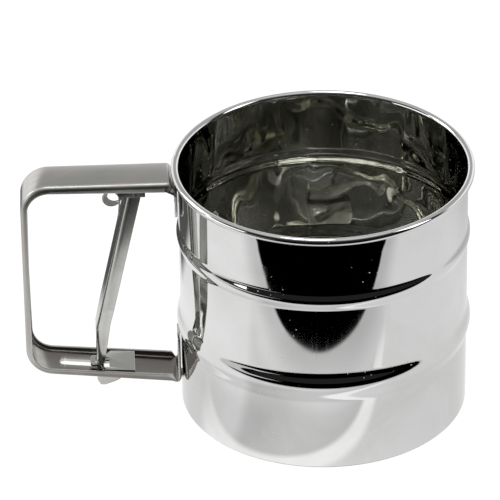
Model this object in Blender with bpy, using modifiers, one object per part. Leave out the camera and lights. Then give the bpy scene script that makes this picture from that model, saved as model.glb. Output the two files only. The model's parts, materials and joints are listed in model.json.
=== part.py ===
"""Hand-held flour sifter: a beaded sheet cup, a trigger handle and an agitator over a sieve.

Squeezing the trigger swings it about a pin under the handle's upper leg. Its tongue pulls a
strip that slides along the lower leg, and the strip turns the agitator's crank inside the cup.

Profiles and outlines are written about the cup's own axis, which stands at x = 0 with the
handle towards -X. Every object is parented to an empty that moves this axis to CUP_X, so that
the whole sifter is centred over the origin, standing on z = 0. Units are metres.
"""

from math import acos, atan2, cos, hypot, pi, radians, sin, sqrt, tan

import bmesh
import bpy
from mathutils import Matrix, Vector

MM = 0.001
GAP = 0.3 * MM

# Cup
CUP_RADIUS = 50 * MM
CUP_HEIGHT = 92 * MM
CUP_SHEET = 0.5 * MM
RIM_HALF_WIDTH = 1.35 * MM
RIM_HALF_HEIGHT = 1.65 * MM
RIM_RADIUS = CUP_RADIUS - CUP_SHEET + 2 * RIM_HALF_WIDTH
BEADS = ((32.2 * MM, 1.25 * MM, 6.0 * MM), (66.2 * MM, 0.85 * MM, 3.5 * MM))
CUP_SEGMENTS = 64

# Sieve
SIEVE_Z = 5.0 * MM
SIEVE_THICKNESS = 0.5 * MM
SIEVE_RING_WIDTH = 3.2 * MM
SIEVE_RING_SHEET = 0.6 * MM

# Agitator
AXLE_RADIUS = 2.0 * MM
HUB_Z = 12.3 * MM
HUB_SHEET = 1.0 * MM
HUB_RADIUS = 12.5 * MM
BLADE_COUNT = 4
BLADE_FIRST_ANGLE = 60
BLADE_REACH = 44.5 * MM
BLADE_SHEET = 0.8 * MM
CRANK_RADIUS = 15 * MM
CRANK_PIN_RADIUS = 1.5 * MM

# Handle
SHEET = 1.0 * MM
HANDLE_HALF_WIDTH = 8.15 * MM
GRIP_REACH = 104.2 * MM
UPPER_LEG_Z = 89.4 * MM
LOWER_LEG_RISE = 0.1087
LOWER_LEG_Z_AT_WALL = 9.75 * MM
FLANGE_X = -50.8 * MM
HANDLE_CORNER = 9.5 * MM
LIP_AT_CUP = 3.5 * MM
LIP_AT_GRIP = 1.9 * MM
GUIDE_SLOT = (-92.8 * MM, -67.2 * MM)
GUIDE_SLOT_HALF_WIDTH = 1.85 * MM

# Trigger
PIVOT = Vector((-64.6 * MM, 0, 85.9 * MM))
PIVOT_PIN_RADIUS = 0.8 * MM
PIVOT_PLAY = 0.15 * MM
TRIGGER_HALF_WIDTH = 5.85 * MM
TRIGGER_SHEET = 0.9 * MM
TONGUE_HALF_WIDTH = 1.1 * MM

# Link
LINK_SHEET = 0.9 * MM
LINK_TIP_X = -82.0 * MM
NECK_X = -68.3 * MM
NECK_HALF_WIDTH = 1.4 * MM
HEAD_SLOPE = 0.055
LINK_DECK_Z = HUB_Z + HUB_SHEET + 1.4 * MM
LINK_STROKE = 11.9 * MM

CUP_X = (GRIP_REACH - RIM_RADIUS) / 2


# Object helpers


def clear_scene():
    for item in list(bpy.data.objects):
        bpy.data.objects.remove(item, do_unlink=True)
    for collection in list(bpy.data.collections):
        bpy.data.collections.remove(collection)


def new_collection(name):
    collection = bpy.data.collections.new(name)
    bpy.context.scene.collection.children.link(collection)
    return collection


def metal(name, colour, roughness):
    material = bpy.data.materials.new(name)
    material.use_nodes = True
    shader = material.node_tree.nodes["Principled BSDF"]
    shader.inputs["Base Color"].default_value = (*colour, 1.0)
    shader.inputs["Roughness"].default_value = roughness
    shader.inputs["Metallic"].default_value = 1.0
    return material


def object_from_bmesh(name, mesh_data, smooth_below=radians(35)):
    bmesh.ops.remove_doubles(mesh_data, verts=mesh_data.verts, dist=0.0005 * MM)
    bmesh.ops.recalc_face_normals(mesh_data, faces=mesh_data.faces)
    mesh = bpy.data.meshes.new(name)
    mesh_data.to_mesh(mesh)
    mesh_data.free()
    mesh.shade_smooth()
    mesh.set_sharp_from_angle(angle=smooth_below)
    result = bpy.data.objects.new(name, mesh)
    PARTS.objects.link(result)
    return result


def as_mesh_object(source):
    """Replace a curve, or an object with modifiers, by a plain mesh object of the same name."""
    name = source.name
    bpy.context.view_layer.update()
    depsgraph = bpy.context.evaluated_depsgraph_get()
    evaluated = bpy.data.meshes.new_from_object(source.evaluated_get(depsgraph))
    mesh_data = bmesh.new()
    mesh_data.from_mesh(evaluated)
    mesh_data.transform(source.matrix_world)
    bpy.data.meshes.remove(evaluated)
    bpy.data.objects.remove(source, do_unlink=True)
    return object_from_bmesh(name, mesh_data)


def finish(part, material, parent=None):
    """Give a part its material and its parent."""
    part.data.materials.clear()
    part.data.materials.append(material)
    part.parent = parent or CUP_AXIS
    return part


def cut(part, cutter):
    modifier = part.modifiers.new("cut", "BOOLEAN")
    modifier.operation = "DIFFERENCE"
    modifier.solver = "EXACT"
    modifier.object = cutter
    PARTS.objects.unlink(cutter)
    CUTTERS.objects.link(cutter)
    cutter.display_type = "WIRE"
    cutter.hide_render = True
    cutter.parent = CUP_AXIS


def join(part, *others):
    """Unite overlapping solids into one body."""
    for other in others:
        modifier = part.modifiers.new("join", "BOOLEAN")
        modifier.operation = "UNION"
        modifier.solver = "EXACT"
        modifier.object = other
    joined = as_mesh_object(part)
    for other in others:
        bpy.data.objects.remove(other, do_unlink=True)
    return joined


# Shape helpers


def arc(centre, half_axes, start, end, steps):
    """Points on an ellipse from start to end, in degrees."""
    points = []
    for step in range(steps + 1):
        angle = radians(start + (end - start) * step / steps)
        points.append((centre[0] + half_axes[0] * cos(angle), centre[1] + half_axes[1] * sin(angle)))
    return points


def rounded(corners, radii, steps=5):
    """A path in the XZ plane through the corners, each inner corner turned on its radius."""
    spots = [Vector((x, 0, z)) for x, z in corners]
    path = [spots[0]]
    for before, corner, after, radius in zip(spots, spots[1:], spots[2:], radii):
        back = (before - corner).normalized()
        ahead = (after - corner).normalized()
        if radius == 0:
            path.append(corner)
            continue
        half_turn = (pi - back.angle(ahead)) / 2
        centre = corner + (back + ahead).normalized() * radius / cos(half_turn)
        first = (corner + back * radius * tan(half_turn) - centre).normalized()
        last = (corner + ahead * radius * tan(half_turn) - centre).normalized()
        path += [centre + first.slerp(last, step / steps) * radius for step in range(steps + 1)]
    path.append(spots[-1])
    return path


def inward_normals(path):
    """Unit normals of a path in the XZ plane, to the right of its direction seen from -Y."""
    normals = []
    for index in range(len(path)):
        along = path[min(index + 1, len(path) - 1)] - path[max(index - 1, 0)]
        normals.append(Vector((along.z, 0, -along.x)).normalized())
    return normals


def sheet_outline(path, thickness):
    """Closed (x, z) outline of a sheet that follows a centre path of (x, z) points."""
    spots = [Vector((x, 0, z)) for x, z in path]
    normals = inward_normals(spots)
    right = [spot + normal * thickness / 2 for spot, normal in zip(spots, normals)]
    left = [spot - normal * thickness / 2 for spot, normal in zip(spots, normals)]
    return [(spot.x, spot.z) for spot in right + left[::-1]]


def turned(name, outline, segments=CUP_SEGMENTS):
    """Solid of revolution about the Z axis from a closed (radius, z) outline."""
    mesh_data = bmesh.new()
    loop = [mesh_data.verts.new((radius, 0, z)) for radius, z in outline]
    for index, vertex in enumerate(loop):
        mesh_data.edges.new((vertex, loop[(index + 1) % len(loop)]))
    mesh = bpy.data.meshes.new(name)
    mesh_data.to_mesh(mesh)
    mesh_data.free()
    profile = bpy.data.objects.new(name, mesh)
    PARTS.objects.link(profile)
    screw = profile.modifiers.new("turn", "SCREW")
    screw.steps = segments
    screw.render_steps = segments
    screw.use_merge_vertices = True
    screw.merge_threshold = 0.001 * MM
    return as_mesh_object(profile)


def plate(name, outline, thickness, plane="XZ", offset=0.0, holes=()):
    """Flat plate from a closed outline, centred on its plane moved by offset along its normal."""
    curve = bpy.data.curves.new(name, "CURVE")
    curve.dimensions = "2D"
    curve.fill_mode = "BOTH"
    curve.extrude = thickness / 2
    for loop in (outline, *holes):
        spline = curve.splines.new("POLY")
        spline.points.add(len(loop) - 1)
        for point, (across, up) in zip(spline.points, loop):
            point.co = (across, up, 0, 1)
        spline.use_cyclic_u = True
    flat = bpy.data.objects.new(name, curve)
    PARTS.objects.link(flat)
    if plane == "XZ":
        flat.matrix_world = Matrix.Translation((0, offset, 0)) @ Matrix.Rotation(pi / 2, 4, "X")
    elif plane == "YZ":
        quarter_turns = Matrix(((0, 0, 1, offset), (1, 0, 0, 0), (0, 1, 0, 0), (0, 0, 0, 1)))
        flat.matrix_world = quarter_turns
    else:
        flat.matrix_world = Matrix.Translation((0, 0, offset))
    return as_mesh_object(flat)


def box(name, low, high):
    mesh_data = bmesh.new()
    bmesh.ops.create_cube(mesh_data, size=1)
    size = [far - near for near, far in zip(low, high)]
    centre = [(far + near) / 2 for near, far in zip(low, high)]
    mesh_data.transform(Matrix.Translation(centre) @ Matrix.Diagonal((*size, 1)))
    return object_from_bmesh(name, mesh_data)


def rod(name, radius, start, end, segments=24):
    """Cylinder between two points."""
    start, end = Vector(start), Vector(end)
    mesh_data = bmesh.new()
    bmesh.ops.create_cone(
        mesh_data, cap_ends=True, segments=segments,
        radius1=radius, radius2=radius, depth=(end - start).length,
    )
    turn = (end - start).to_track_quat("Z", "Y").to_matrix().to_4x4()
    mesh_data.transform(Matrix.Translation((start + end) / 2) @ turn)
    return object_from_bmesh(name, mesh_data)


def loft(name, sections):
    """Closed body through sections that have the same number of points."""
    mesh_data = bmesh.new()
    rings = [[mesh_data.verts.new(point) for point in section] for section in sections]
    for ring, following in zip(rings, rings[1:]):
        for index in range(len(ring)):
            after = (index + 1) % len(ring)
            mesh_data.faces.new((ring[index], ring[after], following[after], following[index]))
    mesh_data.faces.new(rings[0][::-1])
    mesh_data.faces.new(rings[-1])
    return object_from_bmesh(name, mesh_data)


def belt(centre_a, radius_a, centre_b, radius_b, steps=14):
    """Outline of two discs in a plane and the straight sides that touch both."""
    a, b = Vector(centre_a), Vector(centre_b)
    heading = atan2(b.y - a.y, b.x - a.x)
    lean = acos((radius_a - radius_b) / (b - a).length)
    outline = []
    for step in range(steps + 1):
        angle = heading + lean + (2 * pi - 2 * lean) * step / steps
        outline.append((a.x + radius_a * cos(angle), a.y + radius_a * sin(angle)))
    for step in range(steps + 1):
        angle = heading - lean + 2 * lean * step / steps
        outline.append((b.x + radius_b * cos(angle), b.y + radius_b * sin(angle)))
    return outline


def circle(centre, radius, segments=24):
    return arc(centre, (radius, radius), 0, 360 * (segments - 1) / segments, segments - 1)


# Cup


def cup_wall_path():
    """Centre line of the cup's sheet from the base, over both beads and round the rolled rim."""
    wall = CUP_RADIUS - CUP_SHEET / 2
    path = [(wall, 0.0)]
    for bead_z, bead_height, half_height in BEADS:
        for share in (-1, -0.6, -0.25, 0, 0.25, 0.6, 1):
            swell = bead_height * (1 + cos(pi * share)) / 2
            path.append((wall + swell, bead_z + share * half_height))
    centre = (CUP_RADIUS - CUP_SHEET + RIM_HALF_WIDTH, CUP_HEIGHT - RIM_HALF_HEIGHT)
    half_axes = (RIM_HALF_WIDTH - CUP_SHEET / 2, RIM_HALF_HEIGHT - CUP_SHEET / 2)
    path += arc(centre, half_axes, 180, -105, 9)
    return path


def build_cup():
    shell = turned("cup_shell", sheet_outline(cup_wall_path(), CUP_SHEET))
    z_low = LOWER_LEG_Z_AT_WALL - 2.3 * MM
    cut(shell, box("link_slot", (-60 * MM, -2.9 * MM, z_low), (-40 * MM, 2.9 * MM, z_low + 1.8 * MM)))
    finish(shell, POLISHED)

    outer = CUP_RADIUS - CUP_SHEET - GAP
    inner = outer - SIEVE_RING_WIDTH
    sheet = SIEVE_RING_SHEET
    low = SIEVE_Z - GAP - sheet
    high = SIEVE_Z + SIEVE_THICKNESS + GAP + sheet
    channel = [
        (outer, high), (outer, low), (inner, low), (inner, low + sheet),
        (outer - sheet, low + sheet), (outer - sheet, high - sheet), (inner, high - sheet), (inner, high),
    ]
    finish(turned("screen_ring", channel), STEEL)

    edge = outer - sheet - GAP
    hole = AXLE_RADIUS + GAP
    sieve_top = SIEVE_Z + SIEVE_THICKNESS
    disc = [(edge, sieve_top), (edge, SIEVE_Z), (hole, SIEVE_Z), (hole, sieve_top)]
    finish(turned("mesh_screen", disc), STEEL)


# Agitator


def washer(name, inner, outer, low, high, material, centre=(0, 0)):
    ring = turned(name, [(outer, high), (outer, low), (inner, low), (inner, high)], 32)
    ring.data.transform(Matrix.Translation((*centre, 0)))
    return finish(ring, material)


def rivet(name, radius, head_radius, foot, low, high, top, material, centre=(0, 0)):
    """Turned rivet: a lower head from foot to low, a shank, and a domed upper head to top."""
    dome = top - high
    outline = [
        (0, top), (head_radius * 0.6, top - dome * 0.15), (head_radius, top - dome * 0.6),
        (head_radius, high), (radius, high), (radius, low),
        (head_radius, low), (head_radius * 0.85, foot), (0, foot),
    ]
    piece = turned(name, outline, 32)
    piece.data.transform(Matrix.Translation((*centre, 0)))
    return finish(piece, material)


def crank_pin_place():
    """The crank pin stands half a stroke past the middle of its swing, on the -Y side."""
    swing = LINK_STROKE / hypot(1, LOWER_LEG_RISE) / CRANK_RADIUS
    return Vector((CRANK_RADIUS * sin(swing / 2), -CRANK_RADIUS * cos(swing / 2)))


def build_blade(number):
    """A vane on edge over the sieve, with a tab under the hub plate for its weld."""
    low = SIEVE_Z + SIEVE_THICKNESS + 0.5 * MM
    tab_top = HUB_Z - GAP
    start = AXLE_RADIUS + 3.6 * MM
    vane_outline = [
        (start, low), (BLADE_REACH, low), (BLADE_REACH, low + 3.2 * MM),
        (HUB_RADIUS + 2 * MM, tab_top), (start, tab_top),
    ]
    blade = plate(f"agitator_blade_{number}", vane_outline, BLADE_SHEET)
    tab_low = (start, -0.2 * MM, tab_top - BLADE_SHEET)
    tab_high = (HUB_RADIUS - 1 * MM, 4.2 * MM, tab_top - 0.02 * MM)
    tab = box("tab", tab_low, tab_high)
    blade = join(blade, tab)
    blade.rotation_euler = (0, 0, radians(BLADE_FIRST_ANGLE + 360 / BLADE_COUNT * number))
    return finish(blade, STEEL)


def build_agitator():
    axle_hole = AXLE_RADIUS + GAP
    sieve_top = SIEVE_Z + SIEVE_THICKNESS
    hub_top = HUB_Z + HUB_SHEET
    under = SIEVE_Z - GAP
    washer("under_washer", axle_hole, 6.5 * MM, under - 0.7 * MM, under, STEEL)
    washer("spacer_tube", axle_hole, 3.5 * MM, sieve_top + GAP, HUB_Z - GAP, STEEL)
    washer("top_washer", axle_hole, 4.6 * MM, hub_top + GAP, hub_top + 0.9 * MM, STEEL)
    rivet(
        "centre_rivet", AXLE_RADIUS, 3.6 * MM, under - 2.0 * MM, under - 1.0 * MM,
        hub_top + 1.2 * MM, hub_top + 2.6 * MM, STEEL,
    )

    pin = crank_pin_place()
    holes = (circle((0, 0), axle_hole), circle(pin, CRANK_PIN_RADIUS + GAP, 20))
    outline = belt((0, 0), HUB_RADIUS, pin, 4.2 * MM, 24)
    finish(plate("agitator_hub", outline, HUB_SHEET, "XY", HUB_Z + HUB_SHEET / 2, holes), STEEL)
    for number in range(1, BLADE_COUNT + 1):
        build_blade(number)

    rivet(
        "crank_pin", CRANK_PIN_RADIUS, 2.5 * MM, HUB_Z - 1.2 * MM, HUB_Z - GAP,
        HUB_Z + 5.1 * MM, HUB_Z + 6.0 * MM, STEEL, pin,
    )
    clip_z = HUB_Z + 4.45 * MM
    washer("crank_washer", CRANK_PIN_RADIUS + 0.2 * MM, 3.2 * MM, clip_z, clip_z + 0.4 * MM, STEEL, pin)


# Handle


def lower_leg_z(x):
    """Height of the lower leg's centre line."""
    return LOWER_LEG_Z_AT_WALL + (FLANGE_X - x) * LOWER_LEG_RISE


def handle_path():
    grip_x = -GRIP_REACH + SHEET / 2
    corners = [
        (FLANGE_X, 75.6 * MM), (FLANGE_X, 85.2 * MM), (-52.7 * MM, 87.2 * MM), (-52.7 * MM, UPPER_LEG_Z),
        (-56.0 * MM, UPPER_LEG_Z), (grip_x, UPPER_LEG_Z), (grip_x, lower_leg_z(grip_x)),
        (-53.5 * MM, lower_leg_z(-53.5 * MM)), (FLANGE_X, LOWER_LEG_Z_AT_WALL), (FLANGE_X, 27 * MM),
    ]
    radii = [1.5 * MM, 1.2 * MM, 1.2 * MM, 0, HANDLE_CORNER, HANDLE_CORNER, 0, 1.2 * MM]
    path = rounded(corners, radii, 4)
    tip = path.pop(0)
    path = [tip, tip + Vector((0, 0, 2.2 * MM)), *path]
    grip = next(index for index, spot in enumerate(path) if spot.z < 60 * MM and spot.x < -90 * MM)
    path.insert(grip, Vector((grip_x, 0, 50 * MM)))
    for height in (14, 18, 22):
        path.insert(-1, Vector((FLANGE_X, 0, height * MM)))
    return path


def lip_depth(spot, share):
    """Depth of the lips from the outer face: deep at the cup, shallow along the grip."""
    if spot.x > -53.0 * MM:
        return SHEET
    return LIP_AT_GRIP + (LIP_AT_CUP - LIP_AT_GRIP) * abs(2 * share - 1)


def strip_half_width(spot):
    """The strip keeps its width, apart from clipped corners above and a tapered tab below."""
    on_flange = spot.x > FLANGE_X - 0.2 * MM
    if on_flange and spot.z > 60 * MM:
        return HANDLE_HALF_WIDTH - max(0, 77.6 * MM - spot.z)
    if on_flange and spot.z > 11 * MM:
        return 3.0 * MM + (HANDLE_HALF_WIDTH - 3.0 * MM) * sqrt(max(0, (27 * MM - spot.z) / (16 * MM)))
    return HANDLE_HALF_WIDTH


def build_handle():
    path = handle_path()
    normals = inward_normals(path)
    lengths = [0.0]
    for before, after in zip(path, path[1:]):
        lengths.append(lengths[-1] + (after - before).length)
    sections = []
    for spot, normal, length in zip(path, normals, lengths):
        into = -normal
        outer = spot - into * SHEET / 2
        depth = lip_depth(spot, length / lengths[-1])
        half = strip_half_width(spot)
        inside = half - SHEET
        corners = [
            (0, -half), (0, half), (depth, half), (depth, inside),
            (SHEET, inside), (SHEET, -inside), (depth, -inside), (depth, -half),
        ]
        sections.append([outer + into * deep + Vector((0, across, 0)) for deep, across in corners])
    handle = loft("handle_strip", sections)

    slot_low, slot_high = GUIDE_SLOT
    half = GUIDE_SLOT_HALF_WIDTH
    cut(handle, box("guide_slot", (slot_low, -half, 5 * MM), (slot_high, half, 25 * MM)))
    arch_radius = 3.9 * MM
    dome = arc((0, 80 * MM), (arch_radius, arch_radius), 180, 0, 12)
    arch = [(-arch_radius, 70 * MM), *dome, (arch_radius, 70 * MM)]
    cut(handle, plate("flange_arch", arch, 2 * MM, "YZ", FLANGE_X))
    finish(handle, SATIN)


def build_pivot_bracket():
    """Small channel under the upper leg whose ears carry the trigger's pin."""
    outer = HANDLE_HALF_WIDTH - SHEET - GAP
    ear = 0.7 * MM
    top = UPPER_LEG_Z - SHEET / 2 - GAP
    foot = 84.4 * MM
    web = 0.5 * MM
    outline = [
        (-outer, foot), (-outer, top), (outer, top), (outer, foot), (outer - ear, foot),
        (outer - ear, top - web), (-outer + ear, top - web), (-outer + ear, foot),
    ]
    bracket = plate("pivot_bracket", outline, 9.2 * MM, "YZ", PIVOT.x - 1.3 * MM)
    past_ears = Vector((0, 10 * MM, 0))
    cut(bracket, rod("bracket_bore", PIVOT_PIN_RADIUS + PIVOT_PLAY, PIVOT - past_ears, PIVOT + past_ears))
    finish(bracket, SATIN)
    reach = Vector((0, outer, 0))
    finish(rod("lever_pin", PIVOT_PIN_RADIUS, PIVOT - reach, PIVOT + reach, 20), STEEL)


# Trigger


def trigger_half_width(z):
    """Full width down to the knee, drawn in towards the head, then stepped down to the tongue."""
    stops = ((38, TRIGGER_HALF_WIDTH), (15.7, 3.4 * MM), (14.9, TONGUE_HALF_WIDTH))
    for (top, above), (foot, below) in zip(stops, stops[1:]):
        if z >= top * MM:
            return above
        if z > foot * MM:
            return above + (below - above) * (top * MM - z) / ((top - foot) * MM)
    return TONGUE_HALF_WIDTH


def trigger_section(z):
    """X of the outer face, depth, half width and how far the channel is filled, at height z."""
    face = max(-79.8 * MM, -67.83 * MM - 0.219 * (85 * MM - z))
    knee = 32 * MM
    back = -62.6 * MM - 0.2275 * (85 * MM - z) if z > knee else -74.66 * MM - 0.137 * (knee - z)
    depth = back - face
    filling = min(1, max(0, (36 * MM - z) / (12 * MM)))
    fill = TRIGGER_SHEET + (depth - TRIGGER_SHEET) * filling
    return face, depth, trigger_half_width(z), fill


def build_trigger():
    sections = []
    for height in (87.4, 60, 38, 36, 32, 30.3, 27, 24, 20, 15.7, 14.9, 9):
        z = height * MM
        face, depth, half, fill = trigger_section(z)
        inside = max(half - TRIGGER_SHEET, 0.35 * MM)
        corners = [
            (0, -half), (0, half), (depth, half), (depth, inside),
            (fill, inside), (fill, -inside), (depth, -inside), (depth, -half),
        ]
        sections.append([Vector((face + deep, across, z)) for deep, across in corners])
    lever = loft("trigger_lever", sections)
    foot = [
        (-79.75, 12), (-77.75, 12), (-76, 10), (-71.2, 7.4),
        (-73.5, 6.2), (-77, 5.0), (-78.6, 5.1), (-79.75, 7.2),
    ]
    lever = join(lever, plate("foot", [(x * MM, z * MM) for x, z in foot], 2.0 * MM))
    inside = TRIGGER_HALF_WIDTH - TRIGGER_SHEET
    cut(lever, box("web_relief", (-75 * MM, -inside, 83.4 * MM), (-55 * MM, inside, 92 * MM)))
    past_sides = Vector((0, 9 * MM, 0))
    cut(lever, rod("trigger_bore", PIVOT_PIN_RADIUS + PIVOT_PLAY, PIVOT - past_sides, PIVOT + past_sides))
    for cutter_name in ("web_relief", "trigger_bore"):
        bpy.data.objects[cutter_name].parent = TRIGGER_PIVOT
        bpy.data.objects[cutter_name].location = -PIVOT
    finish(lever, SATIN, parent=TRIGGER_PIVOT)
    lever.data.transform(Matrix.Translation(-PIVOT))


def build_spring():
    """Wound wire beside the trigger's top: one leg under the handle, one down the trigger's face."""
    coil_radius = 2.9 * MM
    wire_radius = 0.4 * MM
    centre = Vector((-73.1 * MM, -3.4 * MM, 82.0 * MM))
    turns = 4
    steps_per_turn = 12
    pitch = Vector((0.35 * MM, 0.92 * MM, 0))
    points = [
        Vector((-70.85 * MM, centre.y, 74.2 * MM)), Vector((-70.45 * MM, centre.y, 76.5 * MM)),
        Vector((-70.25 * MM, centre.y, 79.5 * MM)),
    ]
    for step in range(turns * steps_per_turn + 7):
        angle = 2 * pi * step / steps_per_turn
        around = Vector((cos(angle), 0, sin(angle))) * coil_radius
        points.append(centre + around + pitch * step / steps_per_turn)
    end = points[-1]
    points += [
        Vector((end.x - 0.6 * MM, end.y, 85.6 * MM)), Vector((end.x - 1.6 * MM, end.y, 87.9 * MM)),
        Vector((end.x - 3.4 * MM, end.y, 88.15 * MM)), Vector((end.x - 9.5 * MM, end.y, 88.15 * MM)),
    ]
    curve = bpy.data.curves.new("torsion_spring", "CURVE")
    curve.dimensions = "3D"
    curve.bevel_depth = wire_radius
    curve.bevel_resolution = 2
    curve.use_fill_caps = True
    spline = curve.splines.new("POLY")
    spline.points.add(len(points) - 1)
    for point, place in zip(spline.points, points):
        point.co = (*place, 1)
    wire = bpy.data.objects.new("torsion_spring", curve)
    PARTS.objects.link(wire)
    finish(as_mesh_object(wire), STEEL)


# Link


def link_path():
    """Centre line of the strip: in the head, down the neck, run to the cup, step up inside."""
    under_leg = SHEET / 2 + 0.35 * MM + LINK_SHEET / 2
    strip_end = -72.0 * MM
    step_foot, step_head = -36.5 * MM, -29 * MM
    corners = [
        (strip_end, link_head_z(strip_end)), (NECK_X, link_head_z(NECK_X)),
        (NECK_X, lower_leg_z(NECK_X) - under_leg), (step_foot, lower_leg_z(step_foot) - under_leg),
        (step_head, LINK_DECK_Z), (-25 * MM, LINK_DECK_Z),
    ]
    return rounded(corners, [0.8 * MM, 0.8 * MM, 1.5 * MM, 1.5 * MM], 4)


def link_head_z(x):
    """The head lies over the leg, a little less steep than it."""
    return 14.5 * MM - HEAD_SLOPE * (x - LINK_TIP_X)


def build_link_head():
    """Plate with a hole that the tongue hooks behind, wider where the tongue was put in."""
    outline = [
        (-82.0, -2.2), (-81.4, -3.0), (-78.4, -3.0), (-77.6, -6.3), (-66.4, -6.3), (-66.4, 6.3),
        (-74.9, 6.3), (-76.8, 3.4), (-78.0, 3.0), (-81.4, 3.0), (-82.0, 2.2),
    ]
    hole = [(-80.3, -1.6), (-77.2, -1.6), (-77.2, -4.4), (-75.4, -4.4), (-75.4, 1.6), (-80.3, 1.6)]
    outline, hole = ([(x * MM, y * MM) for x, y in loop] for loop in (outline, hole))
    head = plate("link_head", outline, LINK_SHEET + 0.06 * MM, "XY", 0, [hole])
    tilt = Matrix.Identity(4)
    tilt[2][0] = -HEAD_SLOPE
    tilt[2][3] = link_head_z(0)
    head.data.transform(tilt)
    return head


def build_link():
    path = link_path()
    after_neck = NECK_X + 1.2 * MM
    under = next(index for index, spot in enumerate(path) if spot.x > after_neck)
    share = (after_neck - path[under - 1].x) / (path[under].x - path[under - 1].x)
    path.insert(under, path[under - 1].lerp(path[under], share))
    sections = []
    for spot, normal in zip(path, inward_normals(path)):
        half = NECK_HALF_WIDTH if spot.x < after_neck - 0.01 * MM else 2.5 * MM
        sides = [(-0.5, -half), (-0.5, half), (0.5, half), (0.5, -half)]
        rectangle = [spot + normal * share * LINK_SHEET + Vector((0, across, 0)) for share, across in sides]
        sections.append(rectangle)
    link = loft("pull_link", sections)

    pin = crank_pin_place()
    eye_y = pin.y - 0.55 * MM
    arm = belt((-27 * MM, 0), 2.3 * MM, (pin.x, eye_y), 5.0 * MM, 16)
    link = join(link, build_link_head(), plate("arm", arm, LINK_SHEET - 0.1 * MM, "XY", LINK_DECK_Z))
    half_length = 0.9 * MM
    eye_radius = CRANK_PIN_RADIUS + 0.35 * MM
    eye = belt((pin.x, eye_y - half_length), eye_radius, (pin.x, eye_y + half_length), eye_radius, 12)
    cut(link, plate("crank_eye", eye, 4 * MM, "XY", LINK_DECK_Z))
    finish(link, SATIN)


clear_scene()
PARTS = new_collection("flour_sifter")
CUTTERS = new_collection("cutters")
CUP_AXIS = bpy.data.objects.new("cup_axis", None)
CUP_AXIS.location = (CUP_X, 0, 0)
TRIGGER_PIVOT = bpy.data.objects.new("trigger_pivot", None)
TRIGGER_PIVOT.location = PIVOT
TRIGGER_PIVOT.parent = CUP_AXIS
for empty in (CUP_AXIS, TRIGGER_PIVOT):
    PARTS.objects.link(empty)

POLISHED = metal("polished_steel", (0.75, 0.75, 0.74), 0.06)
SATIN = metal("satin_steel", (0.46, 0.46, 0.43), 0.3)
STEEL = metal("bright_steel", (0.62, 0.62, 0.6), 0.22)

build_cup()
build_agitator()
build_handle()
build_pivot_bracket()
build_trigger()
build_spring()
build_link()
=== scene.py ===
"""Looks of the hand flour sifter: fine sheet metal, woven sieve, materials, camera and light.

Outlines are written about the cup's own axis, in millimetres, with the handle towards -X.
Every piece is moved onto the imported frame's cup axis and scaled to metres as it is made.
"""

import json
from math import cos, degrees, hypot, pi, radians, sin, sqrt, tan

import bmesh
import bpy
import numpy as np
from mathutils import Matrix, Vector


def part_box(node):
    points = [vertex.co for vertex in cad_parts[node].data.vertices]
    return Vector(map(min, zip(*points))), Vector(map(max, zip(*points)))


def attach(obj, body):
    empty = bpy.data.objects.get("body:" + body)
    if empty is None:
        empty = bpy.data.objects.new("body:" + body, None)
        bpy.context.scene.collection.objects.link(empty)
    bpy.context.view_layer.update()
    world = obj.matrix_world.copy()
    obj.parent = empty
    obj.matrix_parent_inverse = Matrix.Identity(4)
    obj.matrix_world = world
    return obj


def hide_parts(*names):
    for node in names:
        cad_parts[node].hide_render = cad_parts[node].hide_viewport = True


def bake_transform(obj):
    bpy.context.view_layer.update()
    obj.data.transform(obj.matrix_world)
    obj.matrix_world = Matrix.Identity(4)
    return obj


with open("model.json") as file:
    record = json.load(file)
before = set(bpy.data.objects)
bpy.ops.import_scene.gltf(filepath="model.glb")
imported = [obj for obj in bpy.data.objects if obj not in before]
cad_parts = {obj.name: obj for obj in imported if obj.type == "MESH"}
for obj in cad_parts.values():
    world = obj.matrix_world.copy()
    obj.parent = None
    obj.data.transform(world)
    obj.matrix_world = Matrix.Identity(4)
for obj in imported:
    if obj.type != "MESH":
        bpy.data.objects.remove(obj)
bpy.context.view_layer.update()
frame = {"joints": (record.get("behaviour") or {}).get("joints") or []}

MM = 0.001


def in_mm(value):
    return value / MM


# Frame sizes, in millimetres about the cup's axis

cup_low, cup_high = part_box("cup_shell")
CUP_X = (cup_low.x + cup_high.x) / 2
CUP_HEIGHT = in_mm(cup_high.z)
RIM_RADIUS = in_mm(cup_high.y)
JOINTS = {joint["name"]: joint for joint in frame["joints"]}
PIVOT_X = in_mm(JOINTS["trigger_hinge"]["pos_m"][0] - CUP_X)
PIVOT_Z = in_mm(JOINTS["trigger_hinge"]["pos_m"][2])
GRIP_X = in_mm(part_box("handle_strip")[0].x - CUP_X)
HANDLE_HALF_WIDTH = in_mm(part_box("handle_strip")[1].y)
BRACKET_HALF_WIDTH = in_mm(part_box("pivot_bracket")[1].y)
TRIGGER_HALF_WIDTH = in_mm(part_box("trigger_lever")[1].y)
SIEVE_Z = in_mm(sum(corner.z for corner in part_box("mesh_screen")) / 2)
SIEVE_RADIUS = in_mm(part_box("mesh_screen")[1].y)
HUB_LOW = in_mm(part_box("agitator_hub")[0].z)
HUB_HIGH = in_mm(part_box("agitator_hub")[1].z)
PIN_LOW, PIN_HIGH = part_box("crank_pin")
CRANK = Vector((in_mm((PIN_LOW.x + PIN_HIGH.x) / 2 - CUP_X), in_mm((PIN_LOW.y + PIN_HIGH.y) / 2)))

# Cup: WALL is the radius of the sheet's middle; a bead is (z, height, half height)

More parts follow.
